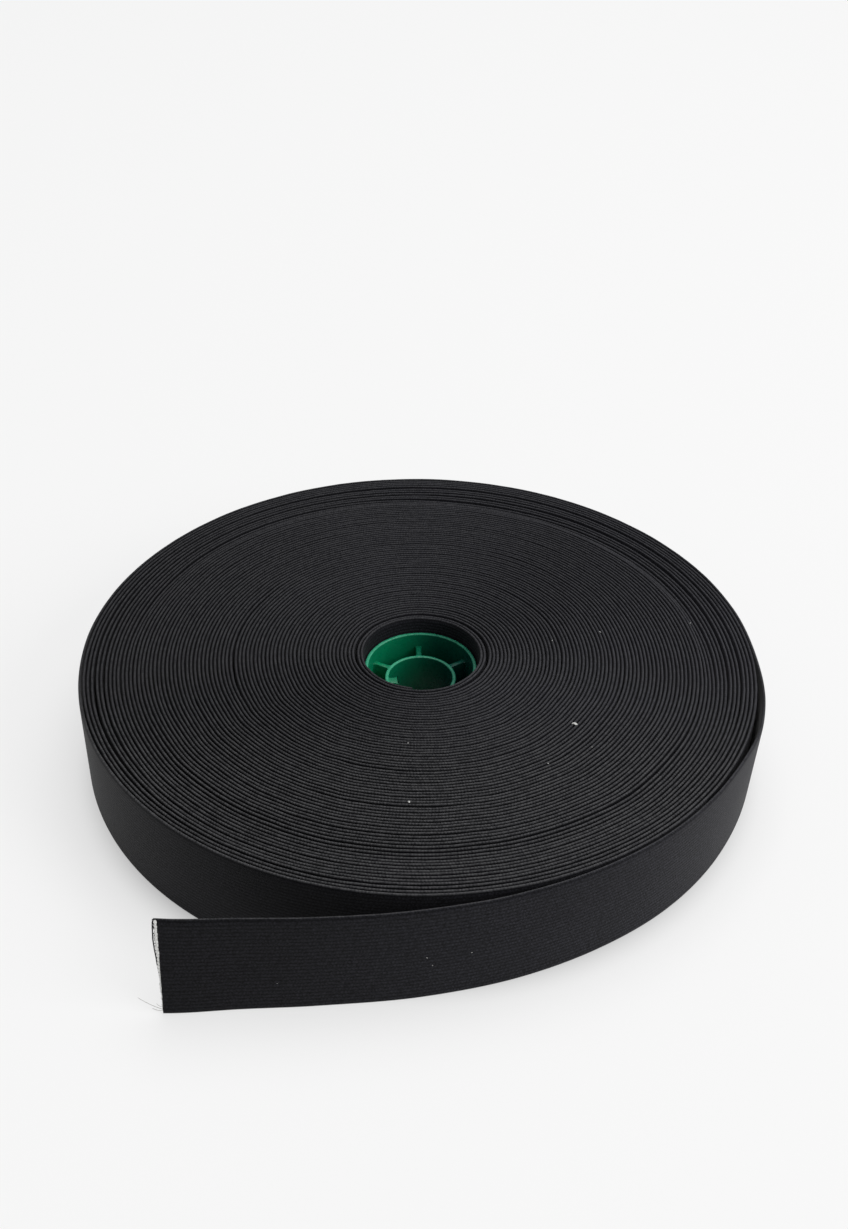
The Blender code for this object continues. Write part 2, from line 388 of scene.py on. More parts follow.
def tube_mesh(name, rings, uv=None):
    """A closed skin over rings of points, given as an array of ring, point and x y z.

    A flat grid is made first, then each of its points is laid on its place in the rings, the
    seam is merged and the two ends are closed.  Returns the mesh, whose last two faces are the
    end caps.
    """
    count, sides = rings.shape[:2]
    bm = bmesh.new()
    bmesh.ops.create_grid(bm, x_segments=count - 1, y_segments=sides, size=0.5)
    mesh = bpy.data.meshes.new(name)
    bm.to_mesh(mesh)
    flat = np.zeros(len(mesh.vertices) * 3)
    mesh.vertices.foreach_get("co", flat)
    flat = flat.reshape(-1, 3)
    ring = np.rint((flat[:, 0] + 0.5) * (count - 1)).astype(int)
    side = np.rint((flat[:, 1] + 0.5) * sides).astype(int)
    mesh.vertices.foreach_set("co", rings[ring, side % sides].ravel())
    if uv is not None:
        along, across = uv
        corner = np.zeros(len(mesh.loops), int)
        mesh.loops.foreach_get("vertex_index", corner)
        layer = mesh.uv_layers.new(name="Band")
        places = np.stack([along[ring[corner]], across[side[corner]]], 1)
        layer.data.foreach_set("uv", places.ravel())
    bm.clear()
    bm.from_mesh(mesh)
    seam = [v for v, s in zip(bm.verts, side) if s in (0, sides)]
    bmesh.ops.remove_doubles(bm, verts=seam, dist=TOUCHING)
    for_caps = [e for e in bm.edges if e.is_boundary]
    bmesh.ops.holes_fill(bm, edges=for_caps, sides=0)
    for edge in for_caps:
        edge.smooth = False
    bmesh.ops.recalc_face_normals(bm, faces=bm.faces)
    for face in bm.faces:
        face.smooth = True
    bm.to_mesh(mesh)
    bm.free()
    return mesh


def speck(bm, place, length, width, seed):
    """A small crumpled tuft of lint."""
    draw = np.random.default_rng(int(seed * 10.0))
    turn = Matrix.Rotation(draw.uniform(0.0, FULL_TURN), 4, "Z")
    size = Matrix.Diagonal((length / 2.0, width / 2.0, width / 3.0, 1.0))
    spot = Matrix.Translation(place) @ turn @ size
    made = bmesh.ops.create_icosphere(bm, subdivisions=2, radius=1.0, matrix=spot)["verts"]
    for vert in made:
        vert.co += Vector(draw.uniform(-0.16, 0.16, 3) * width)


def add_piece(name, mesh, material, body="root"):
    """Link a mesh as a piece that rides on a body of the frame."""
    piece = bpy.data.objects.new(name, mesh)
    mesh.materials.append(material)
    bpy.context.scene.collection.objects.link(piece)
    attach(piece, body)
    return piece


def mesh_of(bm, name, smooth_angle=35.0):
    """Finish a bmesh as a mesh that is smooth but for its sharper edges."""
    mesh = bpy.data.meshes.new(name)
    bm.to_mesh(mesh)
    bm.free()
    mesh.shade_smooth()
    mesh.set_sharp_from_angle(angle=math.radians(smooth_angle))
    return mesh


def is_level_corner(edge):
    """Whether an edge lies level and is sharp enough to be rounded."""
    level = abs(edge.verts[0].co.z - edge.verts[1].co.z) < TOUCHING
    return level and edge.calc_face_angle(0.0) > math.radians(40.0)


def raise_solid(bm, foot, height, rounding):
    """Raise flat faces to a solid and round its rims; returns its points."""
    before = {v for f in foot for v in f.verts}
    raised = bmesh.ops.extrude_face_region(bm, geom=foot, use_keep_orig=True)["geom"]
    lifted = [g for g in raised if isinstance(g, bmesh.types.BMVert)]
    bmesh.ops.translate(bm, vec=(0.0, 0.0, height), verts=lifted)
    verts = list(before) + lifted
    faces = list({f for v in verts for f in v.link_faces})
    bmesh.ops.recalc_face_normals(bm, faces=faces)
    sharp = [e for e in {e for f in faces for e in f.edges} if is_level_corner(e)]
    rounded = bmesh.ops.bevel(bm, geom=sharp, offset=rounding, offset_type="OFFSET",
                              affect="EDGES", segments=3, profile=0.5, material=-1)
    return list({v for v in verts if v.is_valid} | set(rounded["verts"]))


def thread_rings(points, radius, sides=6):
    """Rings of points round a thread that follows a list of points and tapers at its ends."""
    points = np.asarray(points, float)
    ahead = np.gradient(points, axis=0)
    ahead /= np.linalg.norm(ahead, axis=1)[:, None]
    across = np.cross(ahead, (0.31, 0.17, 0.94))
    across /= np.linalg.norm(across, axis=1)[:, None]
    other = np.cross(ahead, across)
    turn = np.arange(sides) * FULL_TURN / sides
    girth = np.full(len(points), radius)
    girth[[0, -1]] *= 0.45
    ring = (across[:, None] * np.cos(turn)[None, :, None]
            + other[:, None] * np.sin(turn)[None, :, None])
    return points[:, None] + ring * girth[:, None, None]


# ---------------------------------------------------------------- the band's path and section

def rim_radius(turned):
    """Outside of the roll's last turn, from 0 just under the loose end to 1 where it peels."""
    pitch = bpy.context.scene.elastic_roll.pitch
    half_extent = (ROLL_HIGH.x - ROLL_LOW.x) / 2.0
    east = 1.0 + PEEL_ANGLE / FULL_TURN
    west = 0.5 + PEEL_ANGLE / FULL_TURN
    return half_extent + pitch * (turned - (east + west) / 2.0)


def rim_centre():
    """Centre of the outermost turn, a little off the core's axis."""
    east = rim_radius(1.0 + PEEL_ANGLE / FULL_TURN)
    north = rim_radius(0.75 + PEEL_ANGLE / FULL_TURN)
    return np.array([ROLL_HIGH.x - east, ROLL_HIGH.y - north])


def ring_centres(radius):
    """Centres of the turns, which shift from the core's axis to the rim's centre."""
    roll = bpy.context.scene.elastic_roll
    axis = np.array([AXIS.x, AXIS.y])
    share = np.clip((radius - roll.bore) / (rim_radius(1.0) - roll.bore), 0.0, 1.0)
    return axis + (rim_centre() - axis) * share[:, None]


def wound_radius(wound):
    """Middle of the band's thickness for clockwise turns counted from the peel, 0 or less."""
    band = bpy.context.scene.elastic_band
    roll = bpy.context.scene.elastic_roll
    rim = rim_radius(1.0)
    radius = rim - band.thickness / 2.0 + roll.pitch * wound
    degrees = np.degrees(PEEL_ANGLE - wound * FULL_TURN)
    for share, middle, half, width in WINDING_GAPS:
        inside = 1.0 - smooth_step(rim * share, roll.pitch, radius)
        fade = np.clip((radius - roll.bore) / (rim * share - roll.bore), 0.0, 1.0)
        radius = radius - inside * fade * angle_bump(degrees, middle, half) * width * MM
    return radius


def wound_bulge(radius, degrees):
    """Radial shift that neighbouring turns share, none at the bore and at the rim."""
    roll = bpy.context.scene.elastic_roll
    share = np.clip((radius - roll.bore) / (rim_radius(0.0) - roll.bore), 0.0, 1.0)
    shift = np.zeros_like(radius)
    for start, drift, half, height in WINDING_BULGES:
        away = (degrees - start - drift * share + 180.0) % 360.0 - 180.0
        shift += height * MM * np.exp(-(away / half) ** 2)
    return shift * np.sin(math.pi * share) ** 0.7


def face_drop(radius, degrees):
    """How far the wound face lies below the rim, with a sunken ring at the back right."""
    shares, drops = np.array(FACE_DROP).T
    drop = np.interp(radius / rim_radius(1.0), shares, drops)
    least, added, middle, half = SUNKEN_RING
    sunken = np.clip(drop - least, 0.0, None) * added * angle_bump(degrees, middle, half)
    towards_back = 0.78 + 0.22 * np.cos(np.radians(degrees - DEEPEST_ANGLE))
    return (drop + sunken) * towards_back * MM


def plan_frames(points):
    """Distances along a plan path and its outward normals."""
    steps = np.linalg.norm(np.diff(points, axis=0), axis=1)
    travelled = np.concatenate([[0.0], np.cumsum(steps)])
    ahead = np.gradient(points, axis=0)
    ahead /= np.linalg.norm(ahead, axis=1)[:, None]
    normals = np.stack([-ahead[:, 1], ahead[:, 0]], 1)
    return travelled, normals


def edge_section():
    """The rounded selvedge: share of the half thickness, height and place across, outside
    first, from where it starts to narrow."""
    band = bpy.context.scene.elastic_band
    rib = (band.width - 2.0 * band.crown) / band.ribs
    face = band.ribs * rib
    return np.array((
        (1.0, band.width - 2.4 * MM, face - 1.5 * MM),
        (0.86, band.width - 1.1 * MM, face - 0.2 * MM),
        (0.56, band.width - 0.3 * MM, face + rib * 0.28),
        (0.0, band.width, face + rib * 0.5),
        (-0.56, band.width - 0.3 * MM, face + rib * 0.72),
        (-0.86, band.width - 1.1 * MM, face + rib + 0.2 * MM),
        (-1.0, band.width - 2.4 * MM, face + rib + 1.5 * MM),
    ))


def plain_section():
    """Section of a wound turn: share of the half thickness, height and place across."""
    band = bpy.context.scene.elastic_band
    rib = (band.width - 2.0 * band.crown) / band.ribs
    face = band.ribs * rib
    foot = np.array(((0.0, 0.0, -rib / 2.0), (1.0, band.crown, 0.0)))
    close = np.array(((-1.0, band.crown, 2.0 * face + rib), (0.0, 0.0, 2.0 * face + 1.5 * rib)))
    return np.concatenate([foot, edge_section(), close])


def ribbed_section():
    """Section of the loose band, with the grooves between its ribs as real relief."""
    band = bpy.context.scene.elastic_band
    width, crown = band.width, band.crown
    rib = (width - 2.0 * crown) / band.ribs
    face = band.ribs * rib
    per_rib = 4
    steps = np.arange(band.ribs * per_rib + 1) / per_rib
    groove = 2.0 * band.rib_depth / band.thickness
    side = 1.0 - groove * (1.0 - np.abs(np.sin(math.pi * steps)) ** 0.6)
    height = crown + steps * rib
    edge_side = np.array([0.77, 0.0, -0.77])
    edge_rise = np.array([0.64, 1.0, 0.64]) * crown
    edge_across = np.array([0.25, 0.5, 0.75]) * rib
    outer = np.stack([side, height, steps * rib], 1)
    top = np.stack([edge_side, crown + face + edge_rise, face + edge_across], 1)
    inner = np.stack([-side, height[::-1], face + rib + steps * rib], 1)
    foot = np.stack([-edge_side, crown - edge_rise, 2.0 * face + rib + edge_across], 1)
    close = np.array([[side[0], height[0], 2.0 * (face + rib)]])
    section = np.concatenate([outer, top, inner, foot, close])
    below = width - section[:, 1]
    narrowed = np.interp(below, (0.0, 0.3 * MM, 1.1 * MM, 2.4 * MM), (0.2, 0.56, 0.86, 1.0))
    section[:, 0] = np.sign(section[:, 0]) * np.minimum(np.abs(section[:, 0]), narrowed)
    return section


def loose_route():
    """Route of the outermost turn and the loose end, resampled to the mesh's sections.

    Returns distances along it, plan points of the band's middle, outward normals, how far the
    top edge stands outside the bottom edge, and the distance where the band peels off.
    """
    band = bpy.context.scene.elastic_band
    angles, radii, leans = np.array(LOOSE_PATH).T
    keys = [*ROLL_KEYS, *((np.degrees(PEEL_ANGLE) - angles) / 360.0)]
    radii = [*rim_radius(1.0 + np.array(ROLL_KEYS)), *(radii * MM)]
    leans = [*np.zeros(len(ROLL_KEYS)), *(leans * MM)]
    fine = np.linspace(-LOOSE_START, keys[-1], LOOSE_SAMPLES)
    outer = smooth_curve(keys, radii, fine)
    lean = smooth_curve(keys, leans, fine)
    angle = PEEL_ANGLE - fine * FULL_TURN
    points = rim_centre() + outer[:, None] * np.stack([np.cos(angle), np.sin(angle)], 1)
    _, normals = plan_frames(points)
    points = points - normals * band.thickness / 2.0
    travelled, _ = plan_frames(points)
    peel = np.interp(0.0, fine, travelled)
    wound_steps = int(peel / WOUND_STEP)
    loose_steps = int((travelled[-1] - peel) / LOOSE_STEP)
    goals = np.concatenate([np.linspace(0.0, peel, wound_steps, endpoint=False),
                            np.linspace(peel, travelled[-1], loose_steps)])
    path = np.stack([np.interp(goals, travelled, points[:, k]) for k in (0, 1)], 1)
    _, normals = plan_frames(path)
    return goals, path, normals, np.interp(goals, travelled, lean), float(peel)


def cut_skew(height):
    """How much farther the band's inner face reaches than its outer face at the cut."""
    return np.interp(height / MM, *CUT_SKEW) * MM


def cut_slope(height):
    """How far the cut lies behind the end of the route, more towards the top edge."""
    return np.interp(height / MM, *CUT_SLOPE) * MM


def cut_point(end, height, out, forward):
    """A point at the cut: its height, metres towards the outer face and metres past the cut.

    end holds the route's last plan point, outward normal, direction and lean.
    """
    foot, normal, ahead, lean = end
    flat = foot + normal * (out + lean * (height / bpy.context.scene.elastic_band.width - 0.5))
    flat = flat + ahead * (forward - cut_slope(height))
    return np.array([flat[0], flat[1], height])


# ---------------------------------------------------------------- materials

class NodeBench:
    """Short calls for building one material's nodes."""

    def __init__(self, name):
        self.material = bpy.data.materials.new(name)
        self.material.use_nodes = True
        self.nodes = self.material.node_tree.nodes
        self.links = self.material.node_tree.links
        self.shader = self.nodes["Principled BSDF"]

    def plug(self, socket, value):
        """Link a socket or set its value."""
        if isinstance(value, bpy.types.NodeSocket):
            self.links.new(value, socket)
        else:
            socket.default_value = value

    def math(self, operation, a, b=None, c=None):
        """One Math node; returns its result."""
        node = self.nodes.new("ShaderNodeMath")
        node.operation = operation
        for socket, value in zip(node.inputs, (a, b, c)):
            if value is not None:
                self.plug(socket, value)
        return node.outputs[0]

    def times(self, value, *others):
        """The product of two or more values."""
        for other in others:
            value = self.math("MULTIPLY", value, other)
        return value

    def split(self, vector):
        """The x, y and z of a vector."""
        node = self.nodes.new("ShaderNodeSeparateXYZ")
        self.links.new(vector, node.inputs[0])
        return node.outputs[:]

    def mix(self, share, a, b, blend="MIX"):
        """A colour between a and b, or a blended with b in another way."""
        node = self.nodes.new("ShaderNodeMix")
        node.data_type = "RGBA"
        node.blend_type = blend
        self.plug(node.inputs["Factor"], share)
        self.plug(node.inputs[6], (*a, 1.0) if isinstance(a, (tuple, list)) else a)
        self.plug(node.inputs[7], (*b, 1.0) if isinstance(b, (tuple, list)) else b)
        return node.outputs[2]

    def spread(self, value, low, high, to_low=0.0, to_high=1.0):
        """Map a range of values to another, smoothly."""
        node = self.nodes.new("ShaderNodeMapRange")
        node.interpolation_type = "SMOOTHSTEP"
        for socket, number in zip(node.inputs, (value, low, high, to_low, to_high)):
            self.plug(socket, number)
        return node.outputs[0]

    def noise(self, vector, scale, detail=2.0, roughness=0.5):
        """Noise from 0 to 1 on a vector."""
        node = self.nodes.new("ShaderNodeTexNoise")
        self.plug(node.inputs["Vector"], vector)
        node.inputs["Scale"].default_value = scale
        node.inputs["Detail"].default_value = detail
        node.inputs["Roughness"].default_value = roughness
        return node.outputs[0]

    def object_place(self, stretch=(1.0, 1.0, 1.0)):
        """Object coordinates, stretched."""
        place = self.nodes.new("ShaderNodeTexCoord")
        mapping = self.nodes.new("ShaderNodeMapping")
        mapping.inputs["Scale"].default_value = stretch
        self.links.new(place.outputs["Object"], mapping.inputs["Vector"])
        return mapping.outputs[0]

    def distance(self, vector, point):
        """How far a place lies from a point."""
        node = self.nodes.new("ShaderNodeVectorMath")
        node.operation = "DISTANCE"
        self.links.new(vector, node.inputs[0])
        node.inputs[1].default_value = point
        return node.outputs["Value"]

    def bump(self, height, distance, strength):
        """Bump of a given depth in metres."""
        node = self.nodes.new("ShaderNodeBump")
        node.inputs["Strength"].default_value = strength
        node.inputs["Distance"].default_value = distance
        self.plug(node.inputs["Height"], height)
        return node.outputs[0]

    def finish(self, **values):
        """Set the shader's sockets by name, with spaces written as underscores."""
        for name, value in values.items():
            socket = self.shader.inputs[name.replace("_", " ")]
            if socket.type == "RGBA" and isinstance(value, (tuple, list)):
                value = (*value, 1.0)
            self.plug(socket, value)
        return self.material


def knit_relief(bench, along, across, rib):
    """Height of the knit from 0 to 1: ribs along the band, each a chain of stitches."""
    rib_count = bench.math("DIVIDE", across, rib)
    in_rib = bench.math("FRACT", rib_count)
    off_middle = bench.math("ABSOLUTE", bench.math("SUBTRACT", in_rib, 0.5))
    stagger = bench.times(bench.math("FLOOR", rib_count), 0.5)
    slant = bench.times(off_middle, 0.9)
    stitches = bench.math("DIVIDE", along, bpy.context.scene.elastic_band.stitch)
    stitches = bench.math("ADD", stitches, bench.math("ADD", stagger, slant))
    row_wave = bench.math("SINE", bench.times(in_rib, math.pi))
    row_wave = bench.math("POWER", row_wave, 0.6)
    stitch_wave = bench.math("SINE", bench.times(bench.math("FRACT", stitches), math.pi))
    stitch_wave = bench.math("POWER", stitch_wave, 0.7)
    return bench.times(row_wave, bench.math("MULTIPLY_ADD", stitch_wave, 0.6, 0.4))


def selvedge_painted_highlight(bench, along, across, rib, loose_from):
    """Where the painted highlight on the selvedge's crown lies, from 0 to 1, fading down its
    flanks into painted shade between the turns; it thins out past loose_from.
    """
    crown = (bpy.context.scene.elastic_band.ribs + 0.5) * rib
    off_crown = bench.math("ABSOLUTE", bench.math("SUBTRACT", across, crown))
    line = bench.spread(off_crown, rib * 0.09, rib * 0.46, 0.90, 0.0)
    if loose_from is None:
        return line
    thin = bench.spread(off_crown, rib * 0.04, rib * 0.24, 0.60, 0.0)
    on_roll = bench.spread(along, loose_from - 0.02, loose_from + 0.04, 1.0, 0.0)
    off_roll = bench.math("SUBTRACT", 1.0, on_roll)
    return bench.math("ADD", bench.times(line, on_roll), bench.times(thin, off_roll))


def band_weave(name, sheen, tint, back_painted_light, speckle, depth, loose_from=None):
    """Black knitted elastic with a painted highlight along its selvedge's crown.

    tint scales the yarn's dark and light tones, the factor after it is painted light that
    lightens them over the roll's back half, speckle is how much they vary, depth is the relief of
    the knit, and loose_from is the distance along the band where it peels off.
    """
    band = bpy.context.scene.elastic_band
    tones = bpy.context.scene.elastic_finish
    rib = (band.width - 2.0 * band.crown) / band.ribs
    bench = NodeBench(name)
    place = bench.nodes.new("ShaderNodeUVMap")
    place.uv_map = "Band"
    along, across, _ = bench.split(place.outputs[0])
    metres = bench.object_place()
    rightwards, backwards, _ = bench.split(metres)
    fibres = bench.noise(metres, FIBRE_SCALE, 3.0, 0.6)
    clumps = bench.noise(metres, CLUMP_SCALE, 2.0)
    broad = bench.noise(metres, BROAD_SCALE, 2.0)
    grain = bench.noise(metres, GRAIN_SCALE, 2.0, 0.7)
    relief = knit_relief(bench, along, across, rib)
    height = bench.math("ADD", relief, bench.times(fibres, 0.35))
    height = bench.math("ADD", height, bench.times(clumps, 0.25))

    tone = bench.times(bench.spread(relief, 0.15, 0.95),
                       bench.spread(fibres, 0.25, 0.75, 0.65, 1.15),
                       bench.spread(clumps, 0.3, 0.7, 0.88, 1.06),
                       bench.spread(broad, 0.3, 0.7, 0.85, 1.1))
    dark = tuple(c * tint[0] for c in tones.yarn_dark)
    light = tuple(c * tint[1] for c in tones.yarn_light)
    yarn = bench.mix(tone, dark, light)
    # Painted light by place: 1 at the roll's front, 0 towards its back; the back gets lighter
    # yarn, the front brighter selvedge crowns.
    front_back_painted_light = bench.spread(backwards, AXIS.y - 0.085, AXIS.y - 0.020, 1.0, 0.0)
    if back_painted_light > 1.0:
        back_painted_yarn = bench.mix(tone, tuple(c * back_painted_light for c in dark), tuple(c * back_painted_light for c in light))
        yarn = bench.mix(front_back_painted_light, back_painted_yarn, yarn)
    # Painted light from the right: the yarn is darker on the roll's left and lighter on its
    # right, with random grain on top.
    painted_lit = bench.spread(rightwards, AXIS.x - 0.13, AXIS.x + 0.13, 0.46, 1.12)
    painted_light_and_grain = bench.times(painted_lit, bench.spread(grain, 0.28, 0.72, 1.0 - speckle, 1.0 + speckle))
    yarn = bench.mix(1.0, yarn, painted_light_and_grain, "MULTIPLY")

    beads = bench.math("SINE", bench.times(along, FULL_TURN / SELVEDGE_STITCH))
    beads = bench.math("MULTIPLY_ADD", beads, 0.22, bench.spread(clumps, 0.28, 0.72, 0.55, 1.18))
    # Painted highlight on the selvedge's crown, brighter at the front, with stitch beads and
    # fibres in it.
    line = bench.times(selvedge_painted_highlight(bench, along, across, rib, loose_from), beads,
                       bench.math("MULTIPLY_ADD", front_back_painted_light, 0.47, 0.48),
                       bench.spread(fibres, 0.25, 0.75, 0.70, 1.14))
    colour = bench.mix(bench.math("MINIMUM", line, 1.0), yarn, tuple(tones.crown_painted_highlight))
    return bench.finish(Base_Color=colour, Roughness=bench.spread(fibres, 0.2, 0.8, 0.62, 0.82),
                        Specular_IOR_Level=0.07, Sheen_Weight=sheen, Sheen_Roughness=0.42,
                        Normal=bench.bump(height, depth, 0.8))


def plain_thread(name, colour, rough=0.7, mottle=0.25):
    """Fine thread or lint with a little unevenness in its tone."""
    bench = NodeBench(name)
    metres = bench.object_place()
    fleck = bench.noise(metres, FLECK_SCALE, 2.0)
    darker = tuple(c * (1.0 - mottle) for c in colour)
    tone = bench.mix(bench.spread(fleck, 0.3, 0.7), darker, tuple(colour))
    return bench.finish(Base_Color=tone, Roughness=rough, Specular_IOR_Level=0.3,
                        Normal=bench.bump(fleck, 0.00006, 0.6))


def core_plastic():
    """Green moulded core: fine moulding grain and scuffs, a painted highlight along its rims, and
    painted light that makes its left side paler than its right.
    """
    tones = bpy.context.scene.elastic_finish
    core = bpy.context.scene.elastic_core
    bench = NodeBench("green_core_plastic")
    metres = bench.object_place()
    rightwards, _, up = bench.split(metres)
    scuffs = bench.noise(metres, SCUFF_SCALE, 3.0)
    swirl = bench.noise(metres, SWIRL_SCALE, 2.0)
    grain = bench.noise(metres, MOULDING_SCALE, 2.0)
    # Painted light from the right: 1 on the core's left, 0 on its right.
    painted_left_light = bench.spread(rightwards, AXIS.x - 0.018, AXIS.x + 0.014, 1.0, 0.0)

    hub_top = CORE_HIGH.z - core.hub_recess
    # Painted highlight along both tubes' top rims, broken by scuffs and stronger on the left.
    on_rim = bench.spread(up, CORE_HIGH.z - 0.0007, CORE_HIGH.z - 0.0001)
    above_hub = bench.spread(up, hub_top - 0.0006, hub_top - 0.0001)
    off_axis = bench.distance(bench.object_place((1.0, 1.0, 0.0)), (AXIS.x, AXIS.y, 0.0))
    in_hub = bench.math("LESS_THAN", off_axis, core.hub_radius + 0.0003)
    painted_rim_highlight = bench.times(bench.math("MAXIMUM", on_rim, bench.times(above_hub, in_hub)),
                       bench.spread(scuffs, 0.25, 0.65, 0.60, 1.0),
                       bench.math("MULTIPLY_ADD", painted_left_light, 0.60, 0.40))
    # Painted light across the core, mottled a little by the moulding's swirl.
    painted_lit = bench.math("ADD", painted_left_light, bench.spread(swirl, 0.3, 0.7, -0.12, 0.12))
    base = bench.mix(painted_lit, tuple(tones.plastic_in_painted_shade), tuple(tones.plastic))
    colour = bench.mix(painted_rim_highlight, base, tuple(tones.plastic_rim_highlight))
    height = bench.math("ADD", grain, bench.times(scuffs, 0.8))
    return bench.finish(Base_Color=colour, Roughness=bench.spread(scuffs, 0.35, 0.7, 0.26, 0.46),
                        Specular_IOR_Level=0.3, Subsurface_Weight=0.12,
                        Subsurface_Radius=(0.3, 1.0, 0.6), Subsurface_Scale=0.0012,
                        Normal=bench.bump(height, 0.00003, 0.5))


def floor_finish():
    """Plain pale studio floor that glows a little, with a painted contact shadow where its glow
    fades out under and round the roll.
    """
    tones = bpy.context.scene.elastic_finish
    bench = NodeBench("pale_floor")
    away = bench.distance(bench.object_place(), (0.0, 0.0, 0.0))
    # Painted contact shadow: the glow is off close round the roll and comes up to full strength
    # just beyond its foot.
    glow = bench.spread(away, 0.110, 0.142, 0.0, tones.floor_glow)
    return bench.finish(Base_Color=tuple(tones.floor), Roughness=0.95, Specular_IOR_Level=0.0,
                        Emission_Color=(1.0, 1.0, 1.0), Emission_Strength=glow)


def lint_material():
    """The lint's material, made once and shared by its pieces."""
    return bpy.data.materials.get("pale_lint") or plain_thread("pale_lint", (0.62, 0.62, 0.60))


def loose_material(peel):
    """The band where its face shows: the outermost turn and, past peel, the loose end."""
    return band_weave("elastic_face", sheen=0.105, tint=(3.4, 3.35), back_painted_light=1.0, speckle=0.60,
                      depth=0.00006, loose_from=peel)


def wound_material():
    """The band inside the roll, where only its edge shows."""
    # Painted light lightens this yarn over the roll's back half.
    return band_weave("elastic_edge", sheen=0.03, tint=(2.2, 2.2), back_painted_light=2.1, speckle=0.40,
                      depth=0.00016)


# ---------------------------------------------------------------- operators

class ELASTIC_OT_wound_turns(bpy.types.Operator):
    """Wind the turns that lie inside the roll"""

    bl_idname = "elastic.wound_turns"
    bl_label = "Wound Turns"

    def execute(self, context):
        travelled, path, radius, degrees = self.route(context)
        section = plain_section()
        rings = self.rings(context, section, travelled, path, face_drop(radius, degrees))
        material = wound_material()
        pieces = context.scene.elastic_roll.pieces
        cuts = np.linspace(0, len(rings) - 1, pieces + 1).astype(int)
        for i, (start, stop) in enumerate(zip(cuts, cuts[1:])):
            part = slice(start, stop + 1)
            name = f"wound_turns_{i + 1}"
            mesh = tube_mesh(name, rings[part], (travelled[part], section[:, 2]))
            piece = add_piece(name, mesh, material)
            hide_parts("wound_roll")
        return {"FINISHED"}

    @staticmethod
    def route(context):
        """Route of the band from the bore to where the loose band's piece begins.

        Returns, for each section of the mesh, its distance along the band, its plan point,
        and its radius and plan angle in degrees.
        """
        band = context.scene.elastic_band
        roll = context.scene.elastic_roll
        last = -LOOSE_START
        tight_pitch = band.thickness * LEAST_PITCH
        room = (rim_radius(1.0) - roll.bore - band.thickness + roll.pitch * last
                - roll.inner_gap - roll.inner_turns * tight_pitch)
        fitting = room / roll.pitch + roll.inner_turns
        start = (roll.start_angle - PEEL_ANGLE) / FULL_TURN + last
        turns = math.floor(fitting - start) + start
        spare = (fitting - turns) * roll.pitch
        fine = np.linspace(last - turns, last, WOUND_SAMPLES)
        inner_end = last - turns + roll.inner_turns

        radius = wound_radius(fine) - spare * (last - fine) / turns
        missing = np.clip(inner_end - fine, 0.0, None) * (roll.pitch - tight_pitch)
        jump = 1.0 - smooth_step(inner_end, GAP_TURNS, fine)
        radius = radius + missing - jump * roll.inner_gap
        degrees = np.degrees(PEEL_ANGLE - fine * FULL_TURN)
        radius = radius + wound_bulge(radius, degrees)
        angle = np.radians(degrees)
        outwards = np.stack([np.cos(angle), np.sin(angle)], 1)
        points = ring_centres(radius) + radius[:, None] * outwards

        travelled, _ = plan_frames(points)
        goals = np.linspace(0.0, travelled[-1], int(travelled[-1] / roll.station))
        x, y, radius, degrees = (np.interp(goals, travelled, values)
                                 for values in (*points.T, radius, degrees))
        return goals, np.stack([x, y], 1), radius, degrees

    @staticmethod
    def rings(context, section, travelled, path, drop):
        """The band's section at each place of its route, a little uneven."""
        band = context.scene.elastic_band
        _, normals = plan_frames(path)
        calm = np.clip((travelled[-1] - travelled) / JOINT_FADE, 0.0, 1.0)
        lift = np.clip(waves(travelled, LIFT_WAVES), 0.0, None)
        top_change = waves(travelled, TOP_WAVES) * calm - drop
        lean = waves(travelled, LEAN_WAVES) * calm
        half = band.thickness / 2.0 * (1.0 + 0.02 * drift_noise(travelled / 0.03, SEED + 5))
        across, level = section[:-1, 0], section[:-1, 1]
        high = level > band.width / 2.0
        upper = level > band.width - 2.0 * MM
        side = across[None] * half[:, None] + lean[:, None] * upper[None]
        height = level[None] + np.where(high[None], top_change[:, None], lift[:, None])
        return skin_rings(path, normals, side, height)


